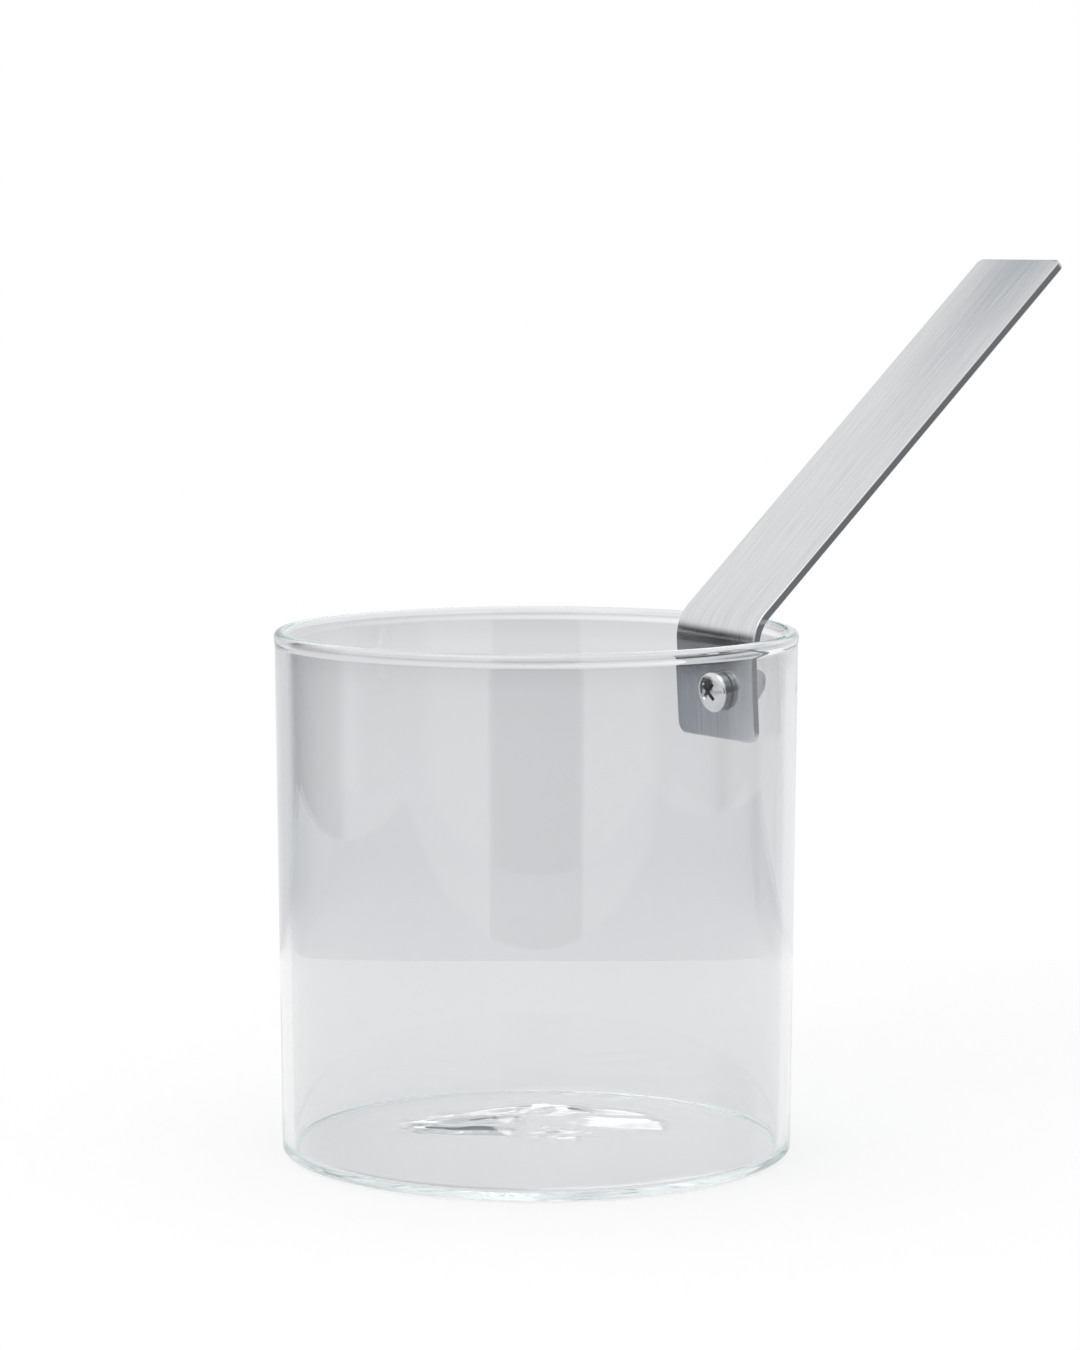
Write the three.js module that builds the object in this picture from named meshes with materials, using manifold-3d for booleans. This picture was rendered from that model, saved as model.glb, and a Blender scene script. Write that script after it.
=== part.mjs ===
// A clear glass saucepan: one blown pot and one bent steel strap, joined by a screw through the wall.
// Millimetres, +Z up. The origin is the middle of the underside, and the handle runs out along +X.

import * as THREE from 'three';
import { mergeVertices } from 'three/addons/utils/BufferGeometryUtils.js';
import Module from 'manifold-3d';

const wasm = await Module();
wasm.setup();

// Glass vessel
const VESSEL_HEIGHT = 120;
const RIM_RADIUS = 59.75; // outside of the wall, just under the bead of the rim
const BASE_RADIUS = 58.65; // outside of the wall, just above the base's corner
const WALL = 2.6;
const FLOOR = 1.5;
const OUTER_CORNER = 1.2;
const INNER_CORNER = 1.5;
const BEAD_HEIGHT = 3.6;
const BEAD_SWELL = 0.2; // how much thicker the fire-polished bead is than the wall
const RIPPLE_RADIUS = 30; // edge of the rippled mark in the middle of the floor
const RIPPLE_PITCH = 10;
const RIPPLE_HEIGHT = 0.5;

// Strap handle, bent from flat bar
const STRAP_WIDTH = 30;
const STRAP_THICKNESS = 2;
const BEND_RADIUS = 8.5; // inside of the bend
const TAB_DROP = 11.9; // from the screw's axis to the lower end of the tab
const GRIP_LENGTH = 122; // straight part beyond the bend
const TAB_CORNER = 2.8;
const GRIP_CORNER = 1.8;
const TAB_LEAN = THREE.MathUtils.degToRad(4);
const GRIP_RISE = THREE.MathUtils.degToRad(42);

// M5 screw, cap nut and washer
const SCREW_DEPTH = 16.9; // from the rim down to the screw's axis
const SCREW_SHIFT = 2.3; // from the strap's middle line to the screw's axis, towards -Y
const SHANK_RADIUS = 2.5;
const SHANK_CHAMFER = 0.5;
const HEAD_RADIUS = 5.2;
const HEAD_SIDE = 2.2;
const HEAD_CROWN = 1.5;
const RECESS_SPAN = 5.8;
const RECESS_FOOT = 2.4;
const RECESS_SLOT = 1.1;
const RECESS_DEPTH = 2.3;
const THREAD_GRIP = 5.2; // length of thread held in the nut
const TIP_CLEARANCE = 0.6;
const NUT_FLATS = 8;
const NUT_HEX_HEIGHT = 4;
const NUT_CHAMFER = 0.4;
const NUT_DOME_RADIUS = 3.75;
const NUT_CAP = 2.2; // steel between the end of the nut's bore and the top of its dome
const WASHER_RADIUS = 5;
const WASHER_THICKNESS = 0.9;

// Silicone pads and bush
const INNER_PAD_RADIUS = 8;
const OUTER_PAD_RADIUS = 6;
const OUTER_PAD_THICKNESS = 1;
const BUSH_WALL = 1;

// Clearances
const EDGE_CLEARANCE = 0.35; // from the strap's long edges to the glass
const PAD_GAP = 0.3; // from a pad's curved face to the glass
const SEAT_GAP = 0.15; // between flat faces that the screw clamps together
const HOLE_CLEARANCE = 0.3; // on the radius, round the shank and round the bush

// Steps of the round shapes
const VESSEL_SEGMENTS = 96;
const TURNED_SEGMENTS = 48;
const ARC_STEPS = 4;
const RIPPLE_STEPS = 4; // along each ripple
const MERGE_TOLERANCE = 1e-4;

// The wall's outer radius grows evenly from the base's corner to the bead
const wallSlope = (RIM_RADIUS - BASE_RADIUS) / (VESSEL_HEIGHT - BEAD_HEIGHT - OUTER_CORNER);

function wallRadius(height) {
  return BASE_RADIUS + wallSlope * (height - OUTER_CORNER);
}

const beadRadius = (WALL + BEAD_SWELL) / 2;
const beadHeight = VESSEL_HEIGHT - beadRadius;
const beadMiddle = wallRadius(beadHeight) - WALL + beadRadius;

// The tab leans so far that the lower ends of its long edges just clear the curved wall
const screwHeight = VESSEL_HEIGHT - SCREW_DEPTH;
const halfStrap = STRAP_WIDTH / 2;
const leanCos = Math.cos(TAB_LEAN);
const leanSin = Math.sin(TAB_LEAN);
const edgeDrop = TAB_DROP - TAB_CORNER;
const edgeHeight = screwHeight + STRAP_THICKNESS * leanSin - edgeDrop * leanCos;
const edgeReach = Math.sqrt((wallRadius(edgeHeight) - WALL) ** 2 - halfStrap ** 2);
const faceRadius = edgeReach - EDGE_CLEARANCE - STRAP_THICKNESS * leanCos - edgeDrop * leanSin;

// Handle frame: x runs out along the screw from the tab's inner face, z runs up the tab
const handleFrame = new THREE.Matrix4().makeRotationY(-TAB_LEAN);
handleFrame.setPosition(faceRadius, 0, screwHeight);
const toHandle = handleFrame.clone().invert();

// Places along the screw, from the tab's inner face outwards
function screwReach(radius) {
  return Math.sqrt(radius ** 2 - SCREW_SHIFT ** 2);
}

const axisRate = leanCos - wallSlope * leanSin;
const wallAtScrew = wallRadius(screwHeight);
const glassInside = (screwReach(wallAtScrew - WALL) - faceRadius) / axisRate;
const glassOutside = (screwReach(wallAtScrew) - faceRadius) / axisRate;
const padStart = STRAP_THICKNESS + SEAT_GAP;
const padEnd = glassOutside + PAD_GAP + OUTER_PAD_THICKNESS;
const washerStart = padEnd + SEAT_GAP;
const nutStart = washerStart + WASHER_THICKNESS + SEAT_GAP;
const shankEnd = nutStart + THREAD_GRIP;
const boreEnd = shankEnd + TIP_CLEARANCE;
const nutEnd = boreEnd + NUT_CAP;
const shankHole = SHANK_RADIUS + HOLE_CLEARANCE;
const bushRadius = shankHole + BUSH_WALL;
const bushHole = bushRadius + HOLE_CLEARANCE;

// The inside of the bend passes over the bead where the strap's long edges cross it
const outerBend = BEND_RADIUS + STRAP_THICKNESS;
const bead = new THREE.Vector3(Math.sqrt(beadMiddle ** 2 - halfStrap ** 2), halfStrap, beadHeight);
bead.applyMatrix4(toHandle);
const bendReach = BEND_RADIUS - beadRadius - EDGE_CLEARANCE;
const bendRise = Math.sqrt(bendReach ** 2 - (outerBend - bead.x) ** 2);
const bendCentre = new THREE.Vector2(outerBend, bead.z - bendRise);

// Solids for cutting and joining

function solid(geometry) {
  const bare = new THREE.BufferGeometry();
  bare.setAttribute('position', geometry.getAttribute('position').clone());
  bare.setIndex(geometry.getIndex());
  const merged = mergeVertices(bare, MERGE_TOLERANCE);
  const corners = merged.getIndex().array;
  const triVerts = [];
  for (let i = 0; i < corners.length; i += 3) {
    const [a, b, c] = corners.slice(i, i + 3);
    if (a !== b && b !== c && c !== a) triVerts.push(a, b, c);
  }
  const mesh = new wasm.Mesh({
    numProp: 3,
    vertProperties: new Float32Array(merged.getAttribute('position').array),
    triVerts: new Uint32Array(triVerts),
  });
  return new wasm.Manifold(mesh);
}

function surface(body) {
  const mesh = body.getMesh();
  const geometry = new THREE.BufferGeometry();
  geometry.setAttribute('position', new THREE.BufferAttribute(mesh.vertProperties, 3));
  geometry.setIndex(new THREE.BufferAttribute(mesh.triVerts, 1));
  geometry.computeVertexNormals();
  return geometry;
}

// Round shapes about the pot's axis and about the screw

function aboutPot(points) {
  return new THREE.LatheGeometry(points, VESSEL_SEGMENTS).rotateX(Math.PI / 2);
}

function onScrew(geometry) {
  return geometry.translate(0, -SCREW_SHIFT, 0);
}

function aboutScrew(points) {
  return onScrew(new THREE.LatheGeometry(points, TURNED_SEGMENTS).rotateZ(-Math.PI / 2));
}

function ring(inner, outer, start, end) {
  const corners = [[inner, start], [outer, start], [outer, end], [inner, end], [inner, start]];
  return aboutScrew(corners.map(([radius, place]) => new THREE.Vector2(radius, place)));
}

function rod(radius, start, end) {
  const corners = [[0, start], [radius, start], [radius, end], [0, end]];
  return aboutScrew(corners.map(([reach, place]) => new THREE.Vector2(reach, place)));
}

// A plain tapered plug of the wall's slope, for shaping the pads to the glass
function wallPlug(offset) {
  const plug = new THREE.Path();
  plug.moveTo(0, 0);
  plug.lineTo(wallRadius(0) + offset, 0);
  plug.lineTo(wallRadius(VESSEL_HEIGHT) + offset, VESSEL_HEIGHT);
  plug.lineTo(0, VESSEL_HEIGHT);
  return solid(aboutPot(plug.getPoints()).applyMatrix4(toHandle));
}

// Glass vessel: base, outer wall, beaded rim, inner wall, floor and its rippled mark

function ripple(radius) {
  const wave = (1 + Math.cos((2 * Math.PI * radius) / RIPPLE_PITCH)) / 2;
  return RIPPLE_HEIGHT * wave * (1 - radius / RIPPLE_RADIUS);
}

function glassVessel() {
  const floorTop = FLOOR + INNER_CORNER;
  const innerFoot = wallRadius(floorTop) - WALL - INNER_CORNER;
  const beadFoot = VESSEL_HEIGHT - BEAD_HEIGHT;
  const beadEdge = beadMiddle + beadRadius;
  const outline = new THREE.Path();
  outline.moveTo(0, 0);
  outline.lineTo(BASE_RADIUS - OUTER_CORNER, 0);
  outline.absarc(BASE_RADIUS - OUTER_CORNER, OUTER_CORNER, OUTER_CORNER, -Math.PI / 2, 0);
  outline.lineTo(wallRadius(beadFoot), beadFoot);
  outline.quadraticCurveTo(beadEdge, (beadFoot + beadHeight) / 2, beadEdge, beadHeight);
  outline.absarc(beadMiddle, beadHeight, beadRadius, 0, Math.PI);
  outline.absarc(innerFoot, floorTop, INNER_CORNER, 0, -Math.PI / 2, true);
  const points = outline.getPoints(ARC_STEPS);
  const waves = Math.ceil((RIPPLE_RADIUS / RIPPLE_PITCH) * RIPPLE_STEPS);
  for (let i = waves; i >= 0; i -= 1) {
    const radius = (RIPPLE_RADIUS * i) / waves;
    points.push(new THREE.Vector2(radius, FLOOR + ripple(radius)));
  }
  const hole = rod(bushHole, glassInside - WALL, glassOutside + WALL).applyMatrix4(handleFrame);
  return surface(solid(aboutPot(points)).subtract(solid(hole)));
}

// Strap handle: its side profile, trimmed to the rounded outlines of the tab and of the grip's end

const gripAngle = GRIP_RISE - TAB_LEAN;
const gripNormal = gripAngle + Math.PI / 2;
const strapSpan = 2 * (GRIP_LENGTH + outerBend + TAB_DROP);

function gripPoint(bendRadius, along) {
  return new THREE.Vector2(
    bendCentre.x + bendRadius * Math.cos(gripNormal) + along * Math.cos(gripAngle),
    bendCentre.y + bendRadius * Math.sin(gripNormal) + along * Math.sin(gripAngle),
  );
}

function strapProfile() {
  const top = gripPoint(outerBend, GRIP_LENGTH);
  const under = gripPoint(BEND_RADIUS, GRIP_LENGTH);
  const shape = new THREE.Shape();
  shape.moveTo(0, -TAB_DROP);
  shape.lineTo(0, bendCentre.y);
  shape.absarc(bendCentre.x, bendCentre.y, outerBend, Math.PI, gripNormal, true);
  shape.lineTo(top.x, top.y);
  shape.lineTo(under.x, under.y);
  shape.absarc(bendCentre.x, bendCentre.y, BEND_RADIUS, gripNormal, Math.PI);
  shape.lineTo(STRAP_THICKNESS, -TAB_DROP);
  const options = { depth: STRAP_WIDTH, bevelEnabled: false, curveSegments: 2 * ARC_STEPS };
  const profile = new THREE.ExtrudeGeometry(shape, options);
  return profile.rotateX(Math.PI / 2).translate(0, halfStrap, 0);
}

// A slab as wide as the strap. Its end at y = 0 has rounded corners, and its middle plane is z = 0
function roundedEnd(corner) {
  const shape = new THREE.Shape();
  shape.absarc(halfStrap - corner, corner, corner, -Math.PI / 2, 0);
  shape.lineTo(halfStrap, strapSpan);
  shape.lineTo(-halfStrap, strapSpan);
  shape.absarc(corner - halfStrap, corner, corner, Math.PI, 1.5 * Math.PI);
  const options = { depth: strapSpan, bevelEnabled: false, curveSegments: ARC_STEPS };
  return new THREE.ExtrudeGeometry(shape, options).translate(0, 0, -strapSpan / 2);
}

function handleStrap() {
  const across = new THREE.Vector3(0, 1, 0);
  const up = new THREE.Vector3(0, 0, 1);
  const out = new THREE.Vector3(1, 0, 0);
  const tabPlace = new THREE.Matrix4().makeBasis(across, up, out).setPosition(0, 0, -TAB_DROP);
  const back = new THREE.Vector3(-Math.cos(gripAngle), 0, -Math.sin(gripAngle));
  const normal = new THREE.Vector3(Math.cos(gripNormal), 0, Math.sin(gripNormal));
  const tip = gripPoint(BEND_RADIUS, GRIP_LENGTH);
  const tipPlace = new THREE.Matrix4().makeBasis(across, back, normal).setPosition(tip.x, 0, tip.y);
  return surface(
    solid(strapProfile())
      .intersect(solid(roundedEnd(TAB_CORNER).applyMatrix4(tabPlace)))
      .intersect(solid(roundedEnd(GRIP_CORNER).applyMatrix4(tipPlace)))
      .subtract(solid(rod(shankHole, -STRAP_THICKNESS, 2 * STRAP_THICKNESS))),
  );
}

// Screw with a crowned head and a tapered cross recess

function recessArm() {
  const shape = new THREE.Shape();
  shape.moveTo(0, -RECESS_SPAN / 2);
  shape.lineTo(RECESS_DEPTH, -RECESS_FOOT / 2);
  shape.lineTo(RECESS_DEPTH, RECESS_FOOT / 2);
  shape.lineTo(0, RECESS_SPAN / 2);
  shape.lineTo(-HEAD_CROWN, RECESS_SPAN / 2);
  shape.lineTo(-HEAD_CROWN, -RECESS_SPAN / 2);
  const arm = new THREE.ExtrudeGeometry(shape, { depth: RECESS_SLOT, bevelEnabled: false });
  return arm.translate(-SEAT_GAP - HEAD_SIDE - HEAD_CROWN, 0, -RECESS_SLOT / 2);
}

function handleScrew() {
  const seat = -SEAT_GAP;
  const outline = new THREE.Path();
  outline.absellipse(0, seat - HEAD_SIDE, HEAD_RADIUS, HEAD_CROWN, -Math.PI / 2, 0);
  outline.lineTo(HEAD_RADIUS, seat);
  outline.lineTo(SHANK_RADIUS, seat);
  outline.lineTo(SHANK_RADIUS, shankEnd - SHANK_CHAMFER);
  outline.lineTo(SHANK_RADIUS - SHANK_CHAMFER, shankEnd);
  outline.lineTo(0, shankEnd);
  return surface(
    solid(aboutScrew(outline.getPoints(ARC_STEPS)))
      .subtract(solid(onScrew(recessArm())))
      .subtract(solid(onScrew(recessArm().rotateX(Math.PI / 2)))),
  );
}

// Silicone pads, shaped to the glass, and the bush that lines the hole

function innerPad() {
  return surface(
    solid(ring(bushHole, INNER_PAD_RADIUS, padStart, glassOutside)).intersect(wallPlug(-WALL - PAD_GAP)),
  );
}

function outerPad() {
  return surface(solid(ring(bushHole, OUTER_PAD_RADIUS, glassInside, padEnd)).subtract(wallPlug(PAD_GAP)));
}

// Cap nut: chamfered hexagon, dome and blind bore

function capNut() {
  const cornerRadius = NUT_FLATS / Math.sqrt(3);
  const hexEnd = nutStart + NUT_HEX_HEIGHT;
  const hexagon = new THREE.CylinderGeometry(cornerRadius, cornerRadius, NUT_HEX_HEIGHT, 6);
  onScrew(hexagon.rotateZ(-Math.PI / 2)).translate(nutStart + NUT_HEX_HEIGHT / 2, 0, 0);
  const barrel = [
    [0, nutStart],
    [cornerRadius - 2 * NUT_CHAMFER, nutStart],
    [cornerRadius, nutStart + NUT_CHAMFER],
    [cornerRadius, hexEnd - NUT_CHAMFER],
    [cornerRadius - 2 * NUT_CHAMFER, hexEnd],
    [0, hexEnd],
  ].map(([radius, place]) => new THREE.Vector2(radius, place));
  const dome = new THREE.Path();
  dome.moveTo(0, nutStart + NUT_CHAMFER);
  dome.lineTo(NUT_DOME_RADIUS, nutStart + NUT_CHAMFER);
  dome.absellipse(0, hexEnd, NUT_DOME_RADIUS, nutEnd - hexEnd, 0, Math.PI / 2);
  return surface(
    solid(hexagon)
      .intersect(solid(aboutScrew(barrel)))
      .add(solid(aboutScrew(dome.getPoints(ARC_STEPS))))
      .subtract(solid(rod(SHANK_RADIUS + SEAT_GAP, nutStart - NUT_CHAMFER, boreEnd))),
  );
}

// Finishes

function finish(color, roughness, metalness) {
  return new THREE.MeshStandardMaterial({ color, roughness, metalness });
}

function clearGlass() {
  const glass = finish(0xd9e2e1, 0.03, 0);
  glass.transparent = true;
  glass.opacity = 0.35;
  return glass;
}

function named(name, geometry, material) {
  const mesh = new THREE.Mesh(geometry, material);
  mesh.name = name;
  return mesh;
}

// Assembly: the handle and everything on the screw share the leaning handle frame

const handle = new THREE.Group();
handle.position.set(faceRadius, 0, screwHeight);
handle.rotation.y = -TAB_LEAN;
handle.add(
  named('handle_strap', handleStrap(), finish(0xb9bcbf, 0.34, 1)),
  named('handle_screw', handleScrew(), finish(0xc6c8ca, 0.2, 1)),
  named('inner_pad', innerPad(), finish(0xe6e8e6, 0.6, 0)),
  named('wall_bush', ring(shankHole, bushRadius, padStart, padEnd), finish(0xe6e8e6, 0.6, 0)),
  named('outer_pad', outerPad(), finish(0xe6e8e6, 0.6, 0)),
  named('flat_washer', ring(shankHole, WASHER_RADIUS, washerStart, washerStart + WASHER_THICKNESS),
    finish(0xc6c8ca, 0.3, 1)),
  named('cap_nut', capNut(), finish(0xc6c8ca, 0.15, 1)),
);

const saucepan = new THREE.Group();
saucepan.add(named('glass_vessel', glassVessel(), clearGlass()), handle);

export default saucepan;
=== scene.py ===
"""Looks of a clear glass saucepan: a blown pot and a bent steel strap, clamped by a screw and a cap nut.

Lengths of the pan are in millimetres, in the frame of the CAD part: +Z up, the origin in the middle of the
underside, the handle out along +X. MM turns them into Blender's metres. Camera and stage are in metres.
"""

import math

import bmesh
import bpy
from mathutils import Matrix, Vector, noise


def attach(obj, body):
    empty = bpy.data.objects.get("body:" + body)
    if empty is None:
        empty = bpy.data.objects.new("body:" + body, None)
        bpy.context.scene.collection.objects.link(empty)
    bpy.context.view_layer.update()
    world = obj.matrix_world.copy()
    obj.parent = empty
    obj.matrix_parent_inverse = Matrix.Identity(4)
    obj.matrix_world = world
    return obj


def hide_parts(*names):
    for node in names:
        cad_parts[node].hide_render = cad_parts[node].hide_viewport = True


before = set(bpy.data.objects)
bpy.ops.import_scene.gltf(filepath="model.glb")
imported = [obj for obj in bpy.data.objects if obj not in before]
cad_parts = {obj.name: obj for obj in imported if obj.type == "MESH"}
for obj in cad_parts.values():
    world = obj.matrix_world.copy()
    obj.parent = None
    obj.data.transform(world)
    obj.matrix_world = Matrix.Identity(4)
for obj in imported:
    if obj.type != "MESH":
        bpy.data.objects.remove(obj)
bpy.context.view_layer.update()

MM = 0.001

# Glass vessel
VESSEL_HEIGHT = 120
RIM_RADIUS = 59.75
BASE_RADIUS = 58.65
WALL = 2.6
FLOOR = 1.5
OUTER_CORNER = 1.2
INNER_CORNER = 1.5
BEAD_HEIGHT = 3.6
BEAD_SWELL = 0.2  # on the outside of the wall
BEAD_INSIDE = 0.2
PUSH_UP = 0.1  # how far the middle of the underside stands off the table
PUSH_UP_RADIUS = 50

# Closing mark in the floor
MARK_AXIS = Vector((0.819, -0.574, 0))  # along its longer way
MARK_RADIUS = 48  # of the part of the floor that it can reach
WAVER_ALONG = (2, 16)  # reach and length of the folds' wavering
WAVER_ACROSS = (1.8, 13)
FOLD_FADE = (0.5, 1.2)  # shares of its half length between which a fold dies out
NOISE_ACROSS = Vector((0, 0, 7))  # places in the noise, one for each use
NOISE_KNOT = Vector((0, 0, 11))
KNOT = (6, 7)  # place of a tangle of finer folds, along and across the mark
KNOT_SPREAD = 45
KNOT_HEIGHT = 0.32
KNOT_GRAIN = 3.6

# Folds of the mark: place along and across it, half length, depth, slope, slant, bow, depth of the back
MARK_FOLDS = [
    (-18, 8.5, 13, 7, 0.1, -0.12, 0, 3.5),
    (-17, 18, 14, 7, 0.1, 0.22, -0.008, 4),
    (-13, 27, 13, 5, 0.09, 0.45, -0.012, 6),
    (2, 35, 12, 5, 0.068, 0.05, -0.02, 5),
    (14, 28, 14, 8, 0.066, -0.28, -0.015, 8),
    (20, 16, 11, 8, 0.066, -0.3, 0, 6),
]

# Strap handle
STRAP_WIDTH = 30
STRAP_THICKNESS = 2
STRAP_EDGE = 0.3  # rounding of the bar's long edges and ends
BEND_RADIUS = 8.5
TAB_DROP = 11.9
GRIP_LENGTH = 122
TAB_CORNER = 2.8
GRIP_CORNER = 1.8
TAB_LEAN = math.radians(4)
GRIP_RISE = math.radians(42)

# M5 screw
SCREW_DEPTH = 16.9
SCREW_SHIFT = 2.3  # from the middle of the strap, towards -Y
SHANK_RADIUS = 2.5
SHANK_FILLET = 0.3
HEAD_RADIUS = 5.2
HEAD_SIDE = 2.2
HEAD_CROWN = 1.5
HEAD_EDGE = 0.2
RECESS_SPAN = 5.8
RECESS_FOOT = 2.4
RECESS_SLOT = 1.1
RECESS_TAPER = 0.25  # share of the slot's width that is lost on the way down
RECESS_DEPTH = 2.3
RECESS_POINT = 0.35
RECESS_LEVELS = (-0.6, 0, 0.35, 0.7, 1)  # shares of the depth, from above the crown to the foot
RECESS_TURN = math.radians(45)
RECESS_POWER = 12  # how square the ends of the cross are
THREAD_PITCH = 0.8
THREAD_DEPTH = 0.46
THREAD_GRIP = 5.2
THREAD_START = 8.4
THREAD_LEAD = 0.1
FLANK_RATE = 1.6  # steepness of the thread's flanks
CREST_SHARE = 0.2  # how much of a flank is cut off flat at the crest
TIP_INSET = 0.1
TIP_CLEARANCE = 0.6

# Cap nut and washer
NUT_FLATS = 8
NUT_HEX_HEIGHT = 4
NUT_CHAMFER = 0.4
NUT_DOME_RADIUS = 3.75
NUT_CAP = 2.2
NUT_POWER = 80  # how crisp the corners of the hexagon are
BORE_POINT = 0.5
DOME_FOOT = (0.15, 0.1)  # width and height of the dome's foot
WASHER_RADIUS = 5
WASHER_THICKNESS = 0.9
WASHER_EDGE = 0.15

# Silicone pads and bush
INNER_PAD_RADIUS = 8
OUTER_PAD_RADIUS = 6
OUTER_PAD_THICKNESS = 1
BUSH_WALL = 1
PAD_EDGE = 0.25

# Clearances
EDGE_CLEARANCE = 0.35
PAD_GAP = 0.3
SEAT_GAP = 0.15
HOLE_CLEARANCE = 0.3

# Steps of the shapes
VESSEL_SEGMENTS = 400
TURNED_SEGMENTS = 64
RECESS_SEGMENTS = 96
NUT_SEGMENTS = 120
PUSH_UP_STEP = 5  # millimetres between the rings of the underside
MARK_STEPS = 96
WALL_STEPS = 24
BEAD_STEPS = 8
VESSEL_CORNER_STEPS = 12
CROWN_STEPS = 20  # over the rim, and over the screw's head
DOME_STEPS = 16
THREAD_STEPS = 12  # for each turn
EDGE_STEPS = 4
STRAP_CORNER_STEPS = 8
STRAP_COLUMNS = 10
TAB_STEPS = 8
BEND_STEPS = 20
GRIP_STEPS = 24
WALL_TRIES = 4  # rounds of the search for the wall along the screw
WELD = 1e-7  # points closer than this are one, in metres
SHARP = 40  # degrees at which two faces meet in a crisp edge

# Camera, fitted to the photograph's frame of 1080 x 1350
VIEW_TURN = math.radians(35)
VIEW_PITCH = math.radians(6)
VIEW_DISTANCE = 0.955
VIEW_HEIGHT = 0.2097
VIEW_SIDE = 0.00084
VIEW_LENS = 111.87
VIEW_SENSOR = 36

# Sizes that follow from the named ones, as in the CAD source
wall_slope = (RIM_RADIUS - BASE_RADIUS) / (VESSEL_HEIGHT - BEAD_HEIGHT - OUTER_CORNER)


def wall_radius(height):
    return BASE_RADIUS + wall_slope * (height - OUTER_CORNER)


bead_radius = (WALL + BEAD_SWELL) / 2
bead_height = VESSEL_HEIGHT - bead_radius
bead_middle = wall_radius(bead_height) - WALL + bead_radius

screw_height = VESSEL_HEIGHT - SCREW_DEPTH
half_strap = STRAP_WIDTH / 2
edge_drop = TAB_DROP - TAB_CORNER
edge_height = screw_height + STRAP_THICKNESS * math.sin(TAB_LEAN) - edge_drop * math.cos(TAB_LEAN)
edge_reach = math.sqrt((wall_radius(edge_height) - WALL) ** 2 - half_strap**2)
tab_depth = STRAP_THICKNESS * math.cos(TAB_LEAN) + edge_drop * math.sin(TAB_LEAN)
face_radius = edge_reach - EDGE_CLEARANCE - tab_depth

# Handle frame: OUT along the screw from the tab's inner face, UP along the tab
OUT = Vector((math.cos(TAB_LEAN), 0, math.sin(TAB_LEAN)))
UP = Vector((-math.sin(TAB_LEAN), 0, math.cos(TAB_LEAN)))
ACROSS = Vector((0, 1, 0))
tab_origin = Vector((face_radius, 0, screw_height))


def frame_of(x_axis, y_axis, z_axis, origin):
    turn = Matrix((x_axis, y_axis, z_axis)).transposed().to_4x4()
    return Matrix.Translation(origin * MM) @ turn


handle_frame = frame_of(OUT, ACROSS, UP, tab_origin)
screw_origin = tab_origin - SCREW_SHIFT * ACROSS
screw_frame = frame_of(UP, -ACROSS, OUT, screw_origin)

# Places along the screw
axis_rate = math.cos(TAB_LEAN) - wall_slope * math.sin(TAB_LEAN)
wall_at_screw = wall_radius(screw_height)
glass_outside = (math.sqrt(wall_at_screw**2 - SCREW_SHIFT**2) - face_radius) / axis_rate
pad_start = STRAP_THICKNESS + SEAT_GAP
pad_end = glass_outside + PAD_GAP + OUTER_PAD_THICKNESS
washer_start = pad_end + SEAT_GAP
washer_end = washer_start + WASHER_THICKNESS
nut_start = washer_end + SEAT_GAP
shank_end = nut_start + THREAD_GRIP
bore_end = shank_end + TIP_CLEARANCE
nut_end = bore_end + NUT_CAP
shank_hole = SHANK_RADIUS + HOLE_CLEARANCE
bush_radius = shank_hole + BUSH_WALL
bush_hole = bush_radius + HOLE_CLEARANCE

# The bend passes over the bead of the rim
outer_bend = BEND_RADIUS + STRAP_THICKNESS
bead_edge = Vector((math.sqrt(bead_middle**2 - half_strap**2), half_strap, bead_height)) - tab_origin
bend_reach = BEND_RADIUS - bead_radius - EDGE_CLEARANCE
bend_rise = math.sqrt(bend_reach**2 - (outer_bend - bead_edge.dot(OUT)) ** 2)
bend_centre = (outer_bend, bead_edge.dot(UP) - bend_rise)
grip_angle = GRIP_RISE - TAB_LEAN
grip_normal = grip_angle + math.pi / 2

# Lengths along the strap, through the middle of the bar
tab_length = TAB_DROP + bend_centre[1]
bend_middle = BEND_RADIUS + STRAP_THICKNESS / 2
bend_length = bend_middle * (math.pi - grip_normal)
strap_length = tab_length + bend_length + GRIP_LENGTH


# Meshes from rows of points


def arc(centre, radii, start, end, steps):
    """Points of an elliptical arc, from and to angles in degrees."""
    points = []
    for i in range(steps + 1):
        angle = math.radians(start + (end - start) * i / steps)
        points.append((centre[0] + radii[0] * math.cos(angle), centre[1] + radii[1] * math.sin(angle)))
    return points


def quarter_turn(steps):
    """Angles from nothing to a right angle."""
    return [math.pi / 2 * i / steps for i in range(steps + 1)]


def smooth(value, low, high):
    """A soft step from 0 at low to 1 at high."""
    share = min(max((value - low) / (high - low), 0), 1)
    return share * share * (3 - 2 * share)


def shade(mesh, sharp):
    mesh.shade_smooth()
    mesh.set_sharp_from_angle(angle=math.radians(sharp))


def mesh_of(name, points, faces, sharp=SHARP):
    mesh = bpy.data.meshes.new(name)
    mesh.from_pydata([p * MM for p in points], [], faces)
    shape = bmesh.new()
    shape.from_mesh(mesh)
    bmesh.ops.remove_doubles(shape, verts=shape.verts, dist=WELD)
    bmesh.ops.recalc_face_normals(shape, faces=shape.faces)
    shape.to_mesh(mesh)
    shape.free()
    shade(mesh, sharp)
    return mesh


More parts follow.
